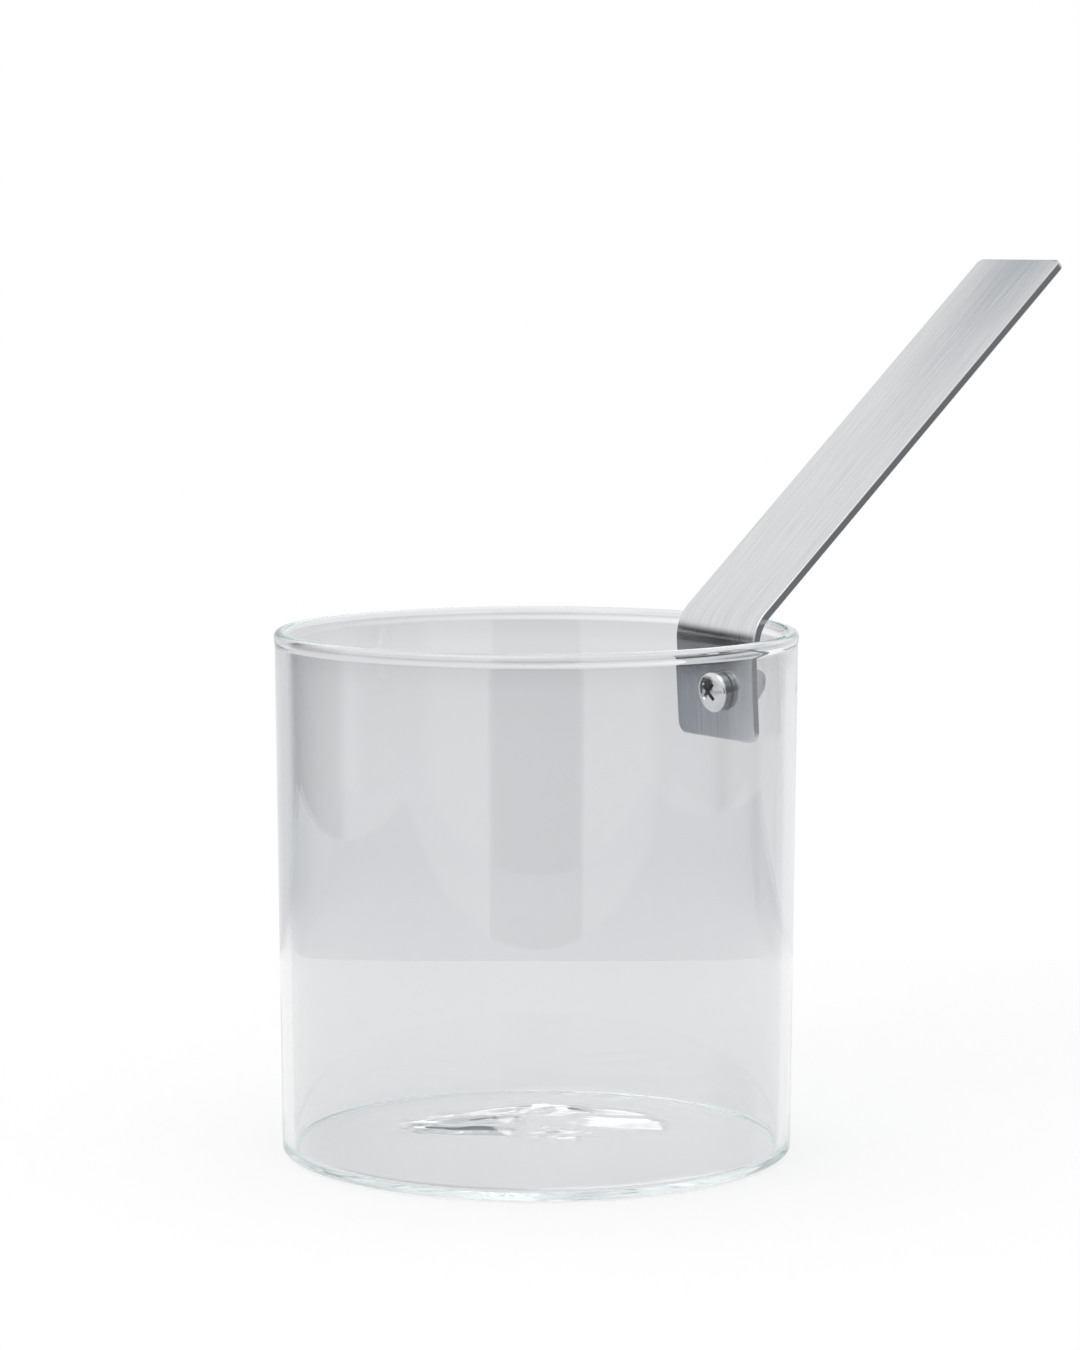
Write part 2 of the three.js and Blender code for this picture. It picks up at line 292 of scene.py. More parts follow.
def skin(name, rows, loop=False, sharp=SHARP):
    """Faces between round rows of points. A row of one point is a pole.

    Loop joins the last row to the first.
    """
    points = []
    starts = []
    for row in rows:
        starts.append(len(points))
        points.extend(row)
    pairs = [(i, i + 1) for i in range(len(rows) - 1)]
    if loop:
        pairs.append((len(rows) - 1, 0))
    faces = []
    for a, b in pairs:
        count = max(len(rows[a]), len(rows[b]))
        for i in range(count):
            j = (i + 1) % count
            corners = [starts[a] + i, starts[a] + j, starts[b] + j, starts[b] + i]
            if len(rows[a]) == 1:
                corners = [starts[a], starts[b] + j, starts[b] + i]
            if len(rows[b]) == 1:
                corners = [starts[a] + i, starts[a] + j, starts[b]]
            faces.append(corners)
    return mesh_of(name, points, faces, sharp)


def circle(radius, height, segments):
    """A round row. The radius is a number, or a function of the angle. At 0 the row is a pole."""
    if radius == 0:
        return [Vector((0, 0, height))]
    row = []
    for i in range(segments):
        angle = 2 * math.pi * i / segments
        reach = radius(angle) if callable(radius) else radius
        row.append(Vector((reach * math.cos(angle), reach * math.sin(angle), height)))
    return row


def circles(profile, segments):
    return [circle(radius, height, segments) for radius, height in profile]


def turned(name, profile, loop=False):
    return skin(name, circles(profile, TURNED_SEGMENTS), loop)


def rounded_ring(inner, outer, start, end, edge):
    """Profile of a washer or bush with rounded edges."""
    corners = [
        (inner + edge, start + edge, 180),
        (outer - edge, start + edge, 270),
        (outer - edge, end - edge, 0),
        (inner + edge, end - edge, 90),
    ]
    profile = []
    for radius, place, turn in corners:
        profile += arc((radius, place), (edge, edge), turn, turn + 90, EDGE_STEPS)
    return profile


def placed(name, mesh, place):
    obj = bpy.data.objects.new(name, mesh)
    bpy.context.scene.collection.objects.link(obj)
    obj.matrix_world = place
    return obj


def cut(obj, cutter, sharp=SHARP):
    """Takes the cutter's shape out of obj, and the cutter away."""
    modifier = obj.modifiers.new("cut", "BOOLEAN")
    modifier.object = cutter
    bpy.context.view_layer.update()
    result = bpy.data.meshes.new_from_object(obj.evaluated_get(bpy.context.evaluated_depsgraph_get()))
    obj.modifiers.clear()
    obj.data = result
    bpy.data.objects.remove(cutter)
    shade(result, sharp)


def bore(obj, radius, start, end, place, sharp=SHARP):
    """A round hole in obj from start to end, along the Z axis of place."""
    drill = turned("drill", [(0, start), (radius, start), (radius, end), (0, end)])
    cut(obj, placed("drill", drill, place), sharp)


# Glass vessel


def closing_mark(x, y):
    """Height of the drawn-out folds left in the floor where the pot was closed."""
    place = Vector((x * MARK_AXIS.x + y * MARK_AXIS.y, y * MARK_AXIS.x - x * MARK_AXIS.y, 0))
    along = place.x + WAVER_ALONG[0] * noise.noise(place / WAVER_ALONG[1])
    across = place.y + WAVER_ACROSS[0] * noise.noise(place / WAVER_ACROSS[1] + NOISE_ACROSS)
    height = 0
    for middle, line, half, depth, slope, slant, bow, back in MARK_FOLDS:
        shift = along - middle
        share = 1 - smooth(abs(shift), FOLD_FADE[0] * half, FOLD_FADE[1] * half)
        off = across - line - slant * shift - bow * shift**2
        rise = min(max(off + depth / 2, 0), depth)
        height += slope * rise * share * (1 - smooth(off, depth / 2, depth / 2 + back))
    knot = math.exp(-((place.x - KNOT[0]) ** 2 + (place.y - KNOT[1]) ** 2) / KNOT_SPREAD)
    return height + KNOT_HEIGHT * knot * noise.noise(place / KNOT_GRAIN + NOISE_KNOT)


def push_up(radius):
    return PUSH_UP * (1 - smooth(radius, 0, PUSH_UP_RADIUS))


def glass_vessel():
    floor_top = FLOOR + INNER_CORNER
    inner_foot = wall_radius(floor_top) - WALL - INNER_CORNER
    outer_foot = BASE_RADIUS - OUTER_CORNER
    bead_foot = VESSEL_HEIGHT - BEAD_HEIGHT
    rim_edge = bead_middle + bead_radius
    half_bead = bead_radius + BEAD_INSIDE / 2
    bead_level = VESSEL_HEIGHT - half_bead
    swell = []
    for i in range(1, BEAD_STEPS):
        height = bead_foot + (bead_level - bead_foot) * i / BEAD_STEPS
        swell.append((height, smooth(i / BEAD_STEPS, 0, 1)))

    # From the middle of the underside up the outside, over the rim and down the inside
    profile = [(radius, push_up(radius)) for radius in range(0, PUSH_UP_RADIUS + 1, PUSH_UP_STEP)]
    round_corner = (OUTER_CORNER, OUTER_CORNER)
    profile += arc((outer_foot, OUTER_CORNER), round_corner, -90, 0, VESSEL_CORNER_STEPS)
    for i in range(1, WALL_STEPS + 1):
        height = OUTER_CORNER + (bead_foot - OUTER_CORNER) * i / WALL_STEPS
        profile.append((wall_radius(height), height))
    for height, share in swell:
        profile.append((wall_radius(height) + (rim_edge - wall_radius(height)) * share, height))
    profile += arc((rim_edge - half_bead, bead_level), (half_bead, half_bead), 0, 180, CROWN_STEPS)
    for height, share in reversed(swell):
        profile.append((wall_radius(height) - WALL - BEAD_INSIDE * share, height))
    for i in range(WALL_STEPS):
        height = bead_foot + (floor_top - bead_foot) * i / WALL_STEPS
        profile.append((wall_radius(height) - WALL, height))
    round_corner = (INNER_CORNER, INNER_CORNER)
    profile += arc((inner_foot, floor_top), round_corner, 0, -90, VESSEL_CORNER_STEPS)
    rows = circles(profile, VESSEL_SEGMENTS)
    for i in range(MARK_STEPS, -1, -1):
        row = circle(MARK_RADIUS * i / MARK_STEPS, FLOOR, VESSEL_SEGMENTS)
        rows.append([p + Vector((0, 0, closing_mark(p.x, p.y))) for p in row])
    vessel = placed("vessel", skin("vessel", rows), Matrix.Identity(4))
    hole = screw_frame @ Matrix.Translation((0, 0, pad_start * MM))
    bore(vessel, bush_hole, -WALL, 4 * WALL, hole)
    return vessel


# Strap handle: a flat plate with rounded edges, bent along its length


def bent(along, across, offset):
    """A point of the strap in the handle frame. Offset is from the bar's middle, towards its upper face."""
    if along < tab_length:
        return Vector((STRAP_THICKNESS / 2 - offset, across, along - TAB_DROP))
    angle = max(math.pi - (along - tab_length) / bend_middle, grip_normal)
    beyond = max(along - tab_length - bend_length, 0)
    x = bend_centre[0] + (bend_middle + offset) * math.cos(angle) + beyond * math.cos(grip_angle)
    z = bend_centre[1] + (bend_middle + offset) * math.sin(angle) + beyond * math.sin(grip_angle)
    return Vector((x, across, z))


def strap_stations(inset):
    """Places along the flat plate with its half width there, drawn in from the outline by inset."""
    stations = []
    for angle in quarter_turn(STRAP_CORNER_STEPS):
        along = TAB_CORNER - (TAB_CORNER - inset) * math.cos(angle)
        stations.append((along, half_strap - TAB_CORNER + (TAB_CORNER - inset) * math.sin(angle)))
    bend_end = tab_length + bend_length
    spans = [
        (TAB_CORNER, tab_length, TAB_STEPS),
        (tab_length, bend_end, BEND_STEPS),
        (bend_end, strap_length - GRIP_CORNER, GRIP_STEPS),
    ]
    for start, end, count in spans:
        for i in range(1, count + 1):
            stations.append((start + (end - start) * i / count, half_strap - inset))
    for angle in quarter_turn(STRAP_CORNER_STEPS)[1:]:
        along = strap_length - GRIP_CORNER + (GRIP_CORNER - inset) * math.sin(angle)
        stations.append((along, half_strap - GRIP_CORNER + (GRIP_CORNER - inset) * math.cos(angle)))
    return stations


def strap_plate():
    """Points of the flat plate as places along it, across it and off its middle, and its faces."""
    half = STRAP_THICKNESS / 2
    levels = []
    for angle in quarter_turn(EDGE_STEPS):
        levels.append((STRAP_EDGE * (1 - math.sin(angle)), half - STRAP_EDGE * (1 - math.cos(angle))))
    levels += [(inset, -offset) for inset, offset in reversed(levels)]
    flat = []
    faces = []

    def add(station, column, offset):
        along, width = station
        flat.append((along, width * (2 * column / STRAP_COLUMNS - 1), offset))
        return len(flat) - 1

    outlines = []
    for inset, offset in levels:
        stations = strap_stations(inset)
        last = len(stations) - 1
        order = [(0, m) for m in range(STRAP_COLUMNS)]
        order += [(k, STRAP_COLUMNS) for k in range(last)]
        order += [(last, m) for m in range(STRAP_COLUMNS, 0, -1)]
        order += [(k, 0) for k in range(last, 0, -1)]
        outline = {(k, m): add(stations[k], m, offset) for k, m in order}
        outlines.append((outline, stations, offset))
    for (low, _, _), (high, _, _) in zip(outlines, outlines[1:]):
        for i, here in enumerate(order):
            there = order[(i + 1) % len(order)]
            faces.append([low[here], low[there], high[there], high[here]])
    for grid, stations, offset in (outlines[0], outlines[-1]):
        for k, station in enumerate(stations):
            for m in range(STRAP_COLUMNS + 1):
                if (k, m) not in grid:
                    grid[k, m] = add(station, m, offset)
        for k in range(len(stations) - 1):
            for m in range(STRAP_COLUMNS):
                faces.append([grid[k, m], grid[k + 1, m], grid[k + 1, m + 1], grid[k, m + 1]])
    return flat, faces


def handle_strap():
    flat, faces = strap_plate()
    mesh = mesh_of("strap", [bent(*point) for point in flat], faces, sharp=60)
    uv = mesh.uv_layers.new(name="along_strap")
    for corner in mesh.loops:
        along, across, _ = flat[corner.vertex_index]
        uv.data[corner.index].uv = (along / strap_length, 0.5 + across / STRAP_WIDTH)
    mesh.transform(handle_frame)
    strap = placed("strap", mesh, Matrix.Identity(4))
    bore(strap, shank_hole, -STRAP_THICKNESS, 2 * STRAP_THICKNESS, screw_frame, sharp=60)
    normals = strap.modifiers.new("even_faces", "WEIGHTED_NORMAL")
    normals.keep_sharp = True
    return strap


# Screw: crowned head with a cross recess, and a threaded shank


def cross(span, slot):
    """The outline of a cross, as a function of the angle."""

    def reach(angle):
        off = abs((angle + math.pi / 4) % (math.pi / 2) - math.pi / 4)
        end = (math.cos(off) / (span / 2)) ** RECESS_POWER
        side = (math.sin(off) / (slot / 2)) ** RECESS_POWER
        return (end + side) ** (-1 / RECESS_POWER)

    return reach


def recess_cutter():
    top = -SEAT_GAP - HEAD_SIDE - HEAD_CROWN
    rows = [[Vector((0, 0, top - HEAD_CROWN))]]
    for share in RECESS_LEVELS:
        span = RECESS_SPAN + (RECESS_FOOT - RECESS_SPAN) * share
        slot = RECESS_SLOT * (1 - RECESS_TAPER * share)
        rows.append(circle(cross(span, slot), top + RECESS_DEPTH * share, RECESS_SEGMENTS))
    rows.append([Vector((0, 0, top + RECESS_DEPTH + RECESS_POINT))])
    return skin("recess", rows)


def thread(place):
    """The outline of the threaded shank at a place along the screw, as a function of the angle."""
    cut_in = smooth(place, THREAD_START, THREAD_START + THREAD_PITCH)
    tip = SHANK_RADIUS - THREAD_DEPTH - TIP_INSET + (shank_end - place)

    def reach(angle):
        phase = (place / THREAD_PITCH - angle / (2 * math.pi)) % 1
        flank = min(max(FLANK_RATE * abs(2 * phase - 1) - CREST_SHARE, 0), 1)
        return min(SHANK_RADIUS - THREAD_DEPTH * flank * cut_in, tip)

    return reach


def handle_screw():
    seat = -SEAT_GAP
    profile = arc((0, seat - HEAD_SIDE), (HEAD_RADIUS, HEAD_CROWN), -90, 0, CROWN_STEPS)
    profile[0] = (0, seat - HEAD_SIDE - HEAD_CROWN)
    profile += arc((HEAD_RADIUS - HEAD_EDGE, seat - HEAD_EDGE), (HEAD_EDGE, HEAD_EDGE), 0, 90, EDGE_STEPS)
    profile += [(SHANK_RADIUS + SHANK_FILLET, seat), (SHANK_RADIUS, seat + SHANK_FILLET)]
    profile.append((SHANK_RADIUS, THREAD_START - THREAD_LEAD))
    rows = circles(profile, TURNED_SEGMENTS)
    steps = round(THREAD_STEPS * ((shank_end - THREAD_START) / THREAD_PITCH))
    for i in range(steps + 1):
        place = THREAD_START + (shank_end - THREAD_START) * i / steps
        rows.append(circle(thread(place), place, TURNED_SEGMENTS))
    rows.append([Vector((0, 0, shank_end))])
    screw = placed("screw", skin("screw", rows, sharp=35), screw_frame)
    turn = Matrix.Rotation(RECESS_TURN, 4, "Z")
    cut(screw, placed("recess", recess_cutter(), screw_frame @ turn), sharp=35)
    return screw


# Cap nut: chamfered hexagon, dome and blind bore


def hexagon(limit):
    """The outline of a hexagon inside a circle of radius limit, as a function of the angle."""

    def reach(angle):
        total = (1 / limit) ** NUT_POWER
        for side in range(6):
            facing = math.cos(angle - math.pi / 3 * side)
            total += (max(facing, 0) * 2 / NUT_FLATS) ** NUT_POWER
        return total ** (-1 / NUT_POWER)

    return reach


def cap_nut():
    corner = NUT_FLATS / math.sqrt(3)
    hex_end = nut_start + NUT_HEX_HEIGHT
    bore_radius = SHANK_RADIUS + SEAT_GAP
    profile = [(0, bore_end + BORE_POINT), (bore_radius, bore_end), (bore_radius, nut_start + NUT_CHAMFER)]
    profile += [(bore_radius + NUT_CHAMFER, nut_start), (corner - 2 * NUT_CHAMFER, nut_start)]
    shares = [i / EDGE_STEPS for i in range(EDGE_STEPS + 1)]
    chamfers = [(1 - share, nut_start + NUT_CHAMFER * share) for share in shares]
    chamfers += [(share, hex_end - NUT_CHAMFER * (1 - share)) for share in shares]
    for inset, place in chamfers:
        profile.append((hexagon(corner - 2 * NUT_CHAMFER * inset), place))
    foot_width, foot_height = DOME_FOOT
    dome_height = nut_end - hex_end - foot_height
    profile.append((NUT_DOME_RADIUS + foot_width, hex_end))
    profile += arc((0, hex_end + foot_height), (NUT_DOME_RADIUS, dome_height), 0, 90, DOME_STEPS)
    profile[-1] = (0, nut_end)
    return placed("nut", skin("nut", circles(profile, NUT_SEGMENTS), sharp=28), screw_frame)


def flat_washer():
    profile = rounded_ring(shank_hole, WASHER_RADIUS, washer_start, washer_end, WASHER_EDGE)
    return placed("washer", turned("washer", profile, loop=True), screw_frame)


# Silicone pads with one face shaped to the glass, and the bush


def to_wall(radius, angle, offset):
    """How far along the screw a point of a pad meets the wall's outer surface, moved out by offset."""
    side = radius * math.cos(angle) * UP - radius * math.sin(angle) * ACROSS
    place = glass_outside
    for _ in range(WALL_TRIES):
        point = screw_origin + side + place * OUT
        place += (wall_radius(point.z) + offset - math.hypot(point.x, point.y)) / axis_rate
    return place


def shaped_pad(name, outer, flat_place, offset, outwards):
    """A ring from the glass, at level 0, to a flat face, at level 1.

    Outwards is 1 where the flat face is on the outside, else -1.
    """
    rows = []
    for radius, level in rounded_ring(bush_hole, outer, 0, 1, PAD_EDGE):
        row = []
        for i in range(TURNED_SEGMENTS):
            angle = 2 * math.pi * i / TURNED_SEGMENTS
            if level < 0.5:
                place = to_wall(radius, angle, offset) + outwards * level
            else:
                place = flat_place - outwards * (1 - level)
            row.append(Vector((radius * math.cos(angle), radius * math.sin(angle), place)))
        rows.append(row)
    return placed(name, skin(name, rows, loop=True, sharp=50), screw_frame)


def wall_bush():
    profile = rounded_ring(shank_hole, bush_radius, pad_start, pad_end, PAD_EDGE)
    return placed("bush", turned("bush", profile, loop=True), screw_frame)


# Parts of materials

MIX_A = 6  # sockets of a mix of colours
MIX_B = 7
MIX_RESULT = 2
NOISE_LOW = 0.3  # where most of a noise lies
NOISE_HIGH = 0.7


def node(tree, kind, inputs=None, **settings):
    """A new node. Each input is a value, or the output of another node."""
    made = tree.nodes.new(kind)
    for key, value in settings.items():
        setattr(made, key, value)
    for key, value in (inputs or {}).items():
        if isinstance(value, bpy.types.NodeSocket):
            tree.links.new(value, made.inputs[key])
        else:
            made.inputs[key].default_value = value
    return made


def new_tree(name):
    material = bpy.data.materials.new(name)
    material.use_nodes = True
    material.node_tree.nodes.clear()
    return material, material.node_tree


def finished(tree, inputs):
    """The plain surface of a material, with its inputs."""
    surface = node(tree, "ShaderNodeBsdfPrincipled", inputs)
    node(tree, "ShaderNodeOutputMaterial", {"Surface": surface.outputs[0]})


def places_on(tree):
    return node(tree, "ShaderNodeTexCoord").outputs["Object"]


def parts_of(tree, vector):
    return node(tree, "ShaderNodeSeparateXYZ", {"Vector": vector}).outputs


def length_of(tree, vector):
    return node(tree, "ShaderNodeVectorMath", {0: vector}, operation="LENGTH").outputs["Value"]


def calc(tree, operation, *values, **settings):
    made = node(tree, "ShaderNodeMath", dict(enumerate(values)), operation=operation, **settings)
    return made.outputs[0]


def rest_of(tree, share):
    return calc(tree, "SUBTRACT", 1.0, share)


def average(tree, a, b):
    return calc(tree, "MULTIPLY", calc(tree, "ADD", a, b), 0.5)


def ramp(tree, value, start, end, kind="LINEAR"):
    """A rise from 0 at start to 1 at end."""
    span = {"Value": value, "From Min": start, "From Max": end}
    return node(tree, "ShaderNodeMapRange", span, interpolation_type=kind).outputs["Result"]


def spread(tree, value, low, high):
    """A noise stretched from low to high."""
    inputs = {"Value": value, "From Min": NOISE_LOW, "From Max": NOISE_HIGH, "To Min": low, "To Max": high}
    return node(tree, "ShaderNodeMapRange", inputs).outputs["Result"]


def cloud(tree, places, scale, detail):
    inputs = {"Vector": places, "Scale": scale, "Detail": detail}
    return node(tree, "ShaderNodeTexNoise", inputs).outputs["Fac"]


def stretched(tree, places, scale):
    return node(tree, "ShaderNodeMapping", {"Vector": places, "Scale": scale}).outputs["Vector"]


def bump(tree, height, strength, depth, **settings):
    """A node for small bumps. The depth is in millimetres."""
    inputs = {"Height": height, "Strength": strength, "Distance": depth * MM}
    return node(tree, "ShaderNodeBump", inputs, **settings)


def blend(tree, share, first, second):
    """A colour between two. Each is a colour, or the output of another node."""
    inputs = {"Factor": share}
    for key, color in ((MIX_A, first), (MIX_B, second)):
        inputs[key] = color if isinstance(color, bpy.types.NodeSocket) else (*color, 1)
    return node(tree, "ShaderNodeMix", inputs, data_type="RGBA").outputs[MIX_RESULT]


def blend_shaders(tree, share, first, second):
    inputs = {0: share, 1: first.outputs[0], 2: second.outputs[0]}
    return node(tree, "ShaderNodeMixShader", inputs)


def mirrored(tree, path):
    """1 for what is seen in metal or through glass, else 0."""
    return calc(tree, "MAXIMUM", path["Is Glossy Ray"], path["Is Transmission Ray"])


# Materials

RING_RATE = 20  # the wave texture's own count of rings
CROWN_SHADE = (0.08, 0.45)  # depths under the screw's crown between which painted shade darkens the steel
SIDE_SHADE = (0.85, 0.98)  # how far a face of the strap is turned aside when it takes the painted shade of a side


def clear_glass():
    material, tree = new_tree("clear_glass")
    waves = cloud(tree, stretched(tree, places_on(tree), (1, 1, 0.25)), 38, 1)
    inputs = {
        "Base Color": blend(tree, waves, (0.855, 0.858, 0.865), (0.875, 0.878, 0.885)),
        "Roughness": 0.0,
        "IOR": 1.47,
        "Transmission Weight": 1.0,
        "Normal": bump(tree, waves, 1, 0.06).outputs["Normal"],
    }
    glass = node(tree, "ShaderNodeBsdfPrincipled", inputs)
    clear = node(tree, "ShaderNodeBsdfTransparent", {"Color": (0.9, 0.92, 0.92, 1)})
    shadow = node(tree, "ShaderNodeLightPath").outputs["Is Shadow Ray"]
    both = blend_shaders(tree, shadow, glass, clear)
    depth = node(tree, "ShaderNodeVolumeAbsorption", {"Color": (0.5, 0.72, 0.71, 1), "Density": 1.5})
    node(tree, "ShaderNodeOutputMaterial", {"Surface": both.outputs[0], "Volume": depth.outputs[0]})
    return material


def brushed_strap():
    material, tree = new_tree("brushed_strap")
    flat = node(tree, "ShaderNodeUVMap", uv_map="along_strap").outputs["UV"]
    lines = cloud(tree, stretched(tree, flat, (14, 150, 1)), 1, 3)
    bands = cloud(tree, stretched(tree, flat, (7, 34, 1)), 1, 2)
    grain = average(tree, lines, bands)
    # The bar is bowed a little across its width
    off = calc(tree, "SUBTRACT", parts_of(tree, flat)["Y"], 0.5)
    bowed = bump(tree, calc(tree, "MULTIPLY", off, off), 1, 2.5, invert=True)
    brushed = bump(tree, lines, 0.25, 0.02)
    tree.links.new(bowed.outputs["Normal"], brushed.inputs["Normal"])
    tangent = node(tree, "ShaderNodeTangent", direction_type="UV_MAP", uv_map="along_strap")
    # Painted shade: the sides of the bar are darker than its faces
    facing = node(tree, "ShaderNodeTexCoord").outputs["Normal"]
    aside = calc(tree, "ABSOLUTE", parts_of(tree, facing)["Y"])
    faces = blend(tree, spread(tree, grain, 0, 1), (0.55, 0.565, 0.58), (0.7, 0.71, 0.72))
    inputs = {
        "Base Color": blend(tree, ramp(tree, aside, *SIDE_SHADE), faces, (0.34, 0.35, 0.36)),
        "Metallic": 1.0,
        "Roughness": spread(tree, grain, 0.14, 0.21),
        "Anisotropic": 0.6,
        "Anisotropic Rotation": 0.25,
        "Tangent": tangent.outputs[0],
        "Normal": brushed.outputs["Normal"],
    }
    finished(tree, inputs)
    return material


def turned_steel(name, color, roughness, spacing):
    """Steel with faint rings left by turning, about the piece's own axis."""
    material, tree = new_tree(name)
    places = places_on(tree)
    inputs = {"Vector": places, "Scale": 1 / (RING_RATE * spacing * MM), "Distortion": 1.5, "Detail": 2}
    wave = node(tree, "ShaderNodeTexWave", inputs, wave_type="RINGS", rings_direction="Z")
    rings = wave.outputs["Fac"]
    grain = average(tree, rings, cloud(tree, places, 900, 3))
    dark = [0.94 * level for level in color]
    inputs = {
        "Base Color": blend(tree, grain, dark, color),
        "Metallic": 1.0,
        "Roughness": spread(tree, grain, 0.8 * roughness, 1.25 * roughness),
        "Normal": bump(tree, rings, 0.12, 0.01).outputs["Normal"],
    }
    finished(tree, inputs)
    return material


def crowned_steel():
    """Polished steel of the screw, bright on the crown, with painted shade down in the recess and along the
    side.
    """
    material, tree = new_tree("screw_steel")
    places = places_on(tree)
    part = parts_of(tree, places)
    flat = node(tree, "ShaderNodeCombineXYZ", {"X": part["X"], "Y": part["Y"]}).outputs[0]
    share = calc(tree, "DIVIDE", length_of(tree, flat), HEAD_RADIUS * MM)
    square = calc(tree, "MULTIPLY", share, share)
    dome = calc(tree, "SQRT", calc(tree, "SUBTRACT", 1.0, square, use_clamp=True))
    lower = calc(tree, "ADD", part["Z"], calc(tree, "MULTIPLY", dome, HEAD_CROWN * MM))
    side = -SEAT_GAP - HEAD_SIDE
    # Painted shade: a mask that is 0 on the crown and 1 deeper down, in the recess and along the side
    painted_shade = ramp(tree, lower, (side + CROWN_SHADE[0]) * MM, (side + CROWN_SHADE[1]) * MM)
    specks = cloud(tree, places, 700, 3)
    bright = blend(tree, specks, (0.74, 0.75, 0.76), (0.82, 0.825, 0.83))
    # the dark steel of the painted shade
    dark = blend(tree, specks, (0.2, 0.21, 0.22), (0.26, 0.27, 0.28))
    inputs = {
        "Base Color": blend(tree, painted_shade, bright, dark),
        "Metallic": 1.0,
        "Roughness": spread(tree, specks, 0.07, 0.12),
        "Normal": bump(tree, specks, 0.1, 0.02).outputs["Normal"],
    }
    finished(tree, inputs)
    return material


def silicone():
    material, tree = new_tree("silicone")
    places = places_on(tree)
    grain = cloud(tree, places, 4000, 2)
    inputs = {
        "Base Color": blend(tree, cloud(tree, places, 350, 3), (0.78, 0.8, 0.79), (0.87, 0.88, 0.87)),
        "Roughness": spread(tree, grain, 0.45, 0.6),
        "Subsurface Weight": 0.35,
        "Subsurface Radius": (1.0, 1.0, 1.0),
        "Subsurface Scale": 0.0008,
        "Normal": bump(tree, grain, 0.2, 0.02).outputs["Normal"],
    }
    finished(tree, inputs)
    return material


# Pieces, each in the place of its CAD node


def dress(obj, material, body, cad_node):
    obj.data.materials.clear()
    obj.data.materials.append(material)
    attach(obj, body)
    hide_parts(cad_node)


nut_steel = turned_steel("nut_steel", (0.34, 0.355, 0.37), 0.16, 0.25)
plain_steel = turned_steel("washer_steel", (0.72, 0.725, 0.73), 0.28, 0.2)
rubber = silicone()
inner_pad = shaped_pad("pad_inside", INNER_PAD_RADIUS, pad_start, -WALL - PAD_GAP, -1)
outer_pad = shaped_pad("pad_outside", OUTER_PAD_RADIUS, pad_end, PAD_GAP, 1)

dress(glass_vessel(), clear_glass(), "pan", "glass_vessel")
dress(handle_strap(), brushed_strap(), "pan", "handle_strap")
dress(handle_screw(), crowned_steel(), "screw", "handle_screw")
dress(cap_nut(), nut_steel, "nut", "cap_nut")
dress(flat_washer(), plain_steel, "pan", "flat_washer")
dress(inner_pad, rubber, "pan", "inner_pad")
dress(outer_pad, rubber, "pan", "outer_pad")
dress(wall_bush(), rubber, "pan", "wall_bush")


# Stage: a pale table that ends behind the pan, a pale studio round it, and one soft lamp

TABLE_BACK = 0.25
TABLE_FRONT = 0.35
TABLE_LEFT = 0.53
TABLE_RIGHT = 0.6
TABLE_BEND = 0.16  # where the back edge turns, left of the pan
TABLE_SKEW = 0.15  # how far it runs back from there
TABLE_DROP = 0.0003
TABLE_WHITE = 0.5  # how much of the table shows as plain white instead of lit paper
TABLE_PAINTED_FALLOFF = (0.26, 0.44)  # from the pan's axis, where a painted falloff of light turns the mirrored table grey
# colour of the table where the painted falloff of light is full
TABLE_FALLOFF_GREY = (0.53, 0.56, 0.6)
LAMP_PLACE = Vector((-0.9, -0.3, 1.5))
LAMP_SIZE = 1.2
LAMP_POWER = 6
LAMP_AIM = Vector((0, 0, 0.06))
BOUNCES = 1000
SOFT = "SMOOTHSTEP"
forward = Vector((math.sin(VIEW_TURN), math.cos(VIEW_TURN), 0))
right = Vector((math.cos(VIEW_TURN), -math.sin(VIEW_TURN), 0))


def from_camera(ahead, side, height):
    """A way or place given as the camera sees it: ahead, to the right and up."""
    return forward * ahead + right * side + Vector((0, 0, height))


def table():
    outline = [(-TABLE_LEFT, -TABLE_FRONT), (TABLE_RIGHT, -TABLE_FRONT), (TABLE_RIGHT, TABLE_BACK)]
    outline += [(-TABLE_BEND, TABLE_BACK), (-TABLE_LEFT, TABLE_BACK + TABLE_SKEW)]
    corners = [from_camera(reach, side, -TABLE_DROP) for side, reach in outline]
    mesh = bpy.data.meshes.new("table")
    mesh.from_pydata(corners, [], [range(len(corners))])
    material, tree = new_tree("table")
    places = places_on(tree)
    path = node(tree, "ShaderNodeLightPath").outputs
    # The pan mirrors a table with a painted falloff of light, grey further out, and the camera sees it all
    # white
    far = ramp(tree, length_of(tree, places), *TABLE_PAINTED_FALLOFF, SOFT)
    painted_falloff = calc(tree, "MULTIPLY", far, rest_of(tree, path["Is Camera Ray"]))
    near = blend(tree, cloud(tree, places, 6, 2), (0.965, 0.965, 0.965), (0.975, 0.975, 0.975))
    inputs = {
        "Base Color": blend(tree, painted_falloff, near, TABLE_FALLOFF_GREY),
        "Roughness": 0.9,
        "Specular IOR Level": 0.0,
    }
    paper = node(tree, "ShaderNodeBsdfPrincipled", inputs)
    glow = blend(tree, painted_falloff, (1, 1, 1), TABLE_FALLOFF_GREY)
    white = node(tree, "ShaderNodeEmission", {"Color": glow, "Strength": 1.0})
    looked_at = calc(tree, "MAXIMUM", path["Is Camera Ray"], mirrored(tree, path))
    both = blend_shaders(tree, calc(tree, "MULTIPLY", looked_at, TABLE_WHITE), paper, white)
    node(tree, "ShaderNodeOutputMaterial", {"Surface": both.outputs[0]})
    mesh.materials.append(material)
    return placed("table", mesh, Matrix.Identity(4))


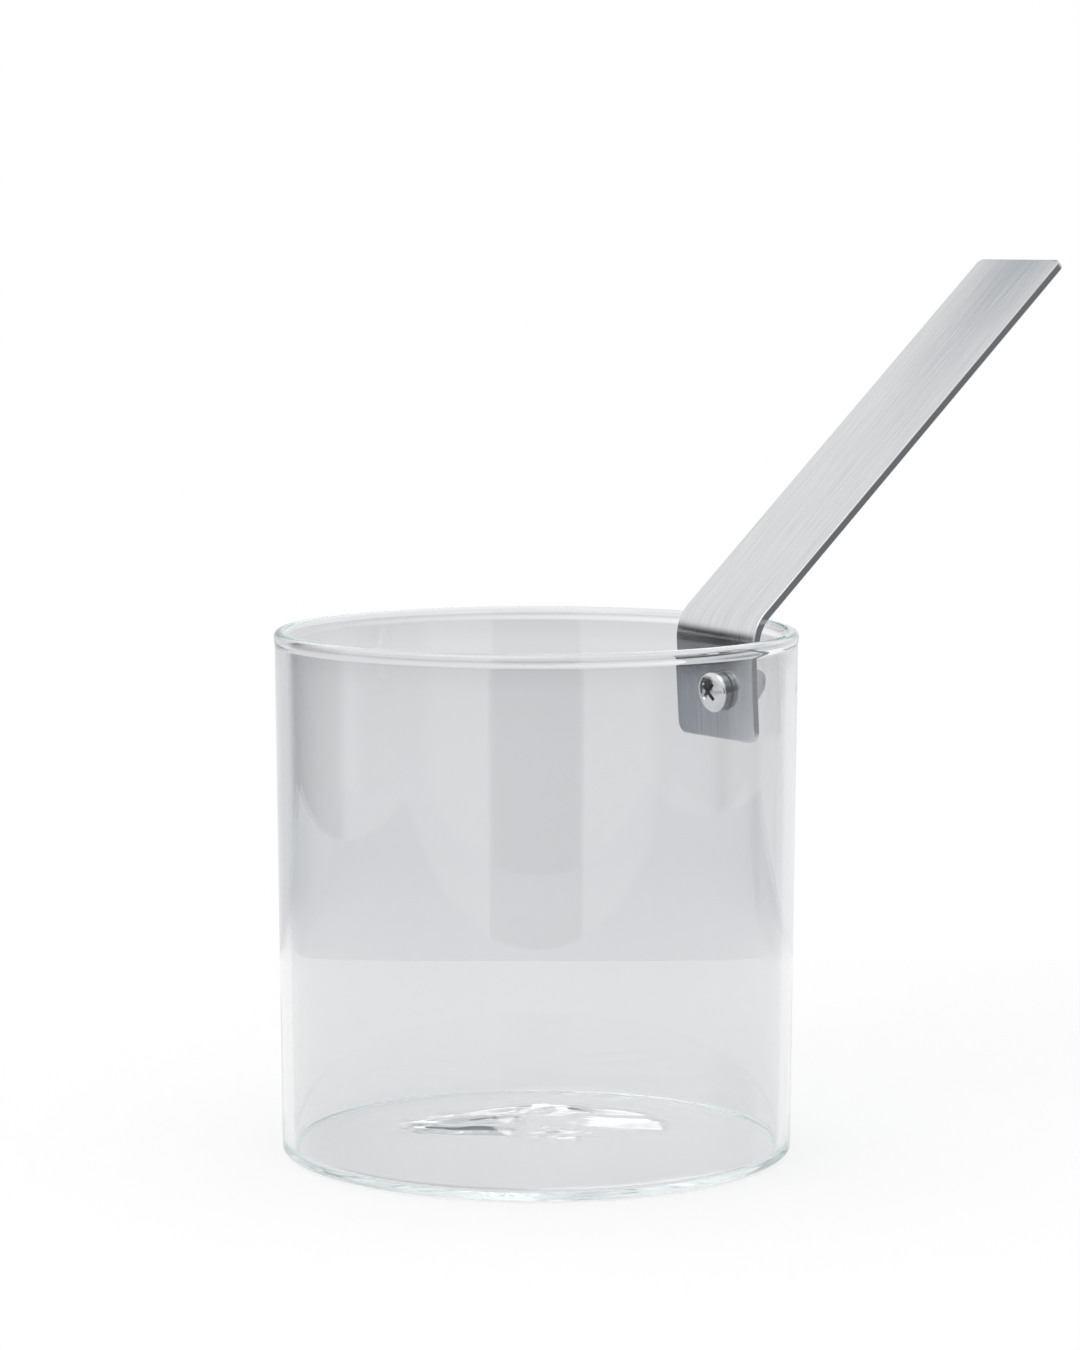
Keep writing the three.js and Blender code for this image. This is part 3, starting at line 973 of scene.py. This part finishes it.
def studio():
    world = bpy.data.worlds.new("studio")
    bpy.context.scene.world = world
    world.use_nodes = True
    tree = world.node_tree
    tree.nodes.clear()
    path = node(tree, "ShaderNodeLightPath").outputs
    way = node(tree, "ShaderNodeTexCoord").outputs["Generated"]
    height = parts_of(tree, way)["Z"]

    def higher(start, end):
        """Share of what lies above a soft edge, from the sine of one elevation to another."""
        return ramp(tree, height, start, end, SOFT)

    def toward(direction, inner, outer):
        """Share of what lies round a direction, inside a soft circle given by two angles in degrees."""
        inputs = {0: way, 1: direction.normalized()}
        facing = node(tree, "ShaderNodeVectorMath", inputs, operation="DOT_PRODUCT").outputs["Value"]
        return ramp(tree, facing, math.cos(math.radians(outer)), math.cos(math.radians(inner)), SOFT)

    def background(color, strength):
        return node(tree, "ShaderNodeBackground", {"Color": color, "Strength": strength})

    left_end = calc(tree, "MULTIPLY", higher(-0.26, -0.2), rest_of(tree, higher(0.12, 0.33)))
    left_end = calc(tree, "MULTIPLY", left_end, toward(Vector((-0.48, 0.877, 0)), 18, 26))
    zones = [
        ((0.75, 0.755, 0.765), higher(-0.13, -0.06)),
        ((0.72, 0.725, 0.74), toward(from_camera(0.87, -0.5, -0.12), 8, 24)),
        # Behind the camera: a bright room with a dark doorway
        ((0.95, 0.95, 0.95), toward(-forward, 75, 90)),
        ((0.14, 0.14, 0.15), toward(from_camera(-1, 0, -0.1), 20, 21.5)),
        ((0.4, 0.4, 0.41), toward(Vector((0.63, -0.77, -0.06)), 14, 26)),
        # The upper part of the room
        ((0.96, 0.96, 0.96), higher(0.13, 0.19)),
        ((1.06, 1.06, 1.06), higher(0.22, 0.4)),
        # A lamp and a dark gap high behind the pan, which the floor of the pan mirrors
        ((1.14, 1.14, 1.14), toward(from_camera(1, 0.14, 0.2), 2, 16)),
        ((2.6, 2.6, 2.6), toward(from_camera(1, 0.07, 0.37), 3.6, 5.4)),
        ((0.16, 0.18, 0.21), toward(from_camera(1, -0.1, 0.43), 4.7, 6.7)),
        # Dark beyond the table's left end, and a grey patch overhead
        ((0.02, 0.022, 0.025), left_end),
        ((0.4, 0.42, 0.45), toward(Vector((0.2, 0.66, 0.724)), 8, 13.5)),
    ]
    walls = (0.9, 0.905, 0.915)
    for color, share in zones:
        walls = blend(tree, share, walls, color)
    light = background((1, 1, 1, 1), 0.91)
    shown = blend_shaders(tree, mirrored(tree, path), light, background(walls, 1.0))
    seen = blend_shaders(tree, path["Is Camera Ray"], shown, background((1, 1, 1, 1), 1.0))
    node(tree, "ShaderNodeOutputWorld", {"Surface": seen.outputs[0]})


def softbox():
    lamp = bpy.data.lights.new("softbox", "AREA")
    lamp.shape = "SQUARE"
    lamp.size = LAMP_SIZE
    lamp.energy = LAMP_POWER
    obj = bpy.data.objects.new("softbox", lamp)
    bpy.context.scene.collection.objects.link(obj)
    obj.location = LAMP_PLACE
    obj.rotation_euler = (LAMP_AIM - LAMP_PLACE).to_track_quat("-Z", "Y").to_euler()


def photo_camera():
    data = bpy.data.cameras.new("photo_camera")
    data.lens = VIEW_LENS
    data.sensor_width = VIEW_SENSOR
    camera = bpy.data.objects.new("photo_camera", data)
    bpy.context.scene.collection.objects.link(camera)
    camera.location = from_camera(-VIEW_DISTANCE, VIEW_SIDE, VIEW_HEIGHT)
    camera.rotation_euler = (math.pi / 2 - VIEW_PITCH, 0, -VIEW_TURN)
    bpy.context.scene.camera = camera


table()
studio()
softbox()
photo_camera()
bpy.context.scene.view_settings.view_transform = "Standard"

# Light runs along inside the wall and the base, and meets their sides many times before it leaves
cycles = bpy.context.scene.cycles
cycles.max_bounces = BOUNCES
cycles.glossy_bounces = BOUNCES
cycles.transmission_bounces = BOUNCES
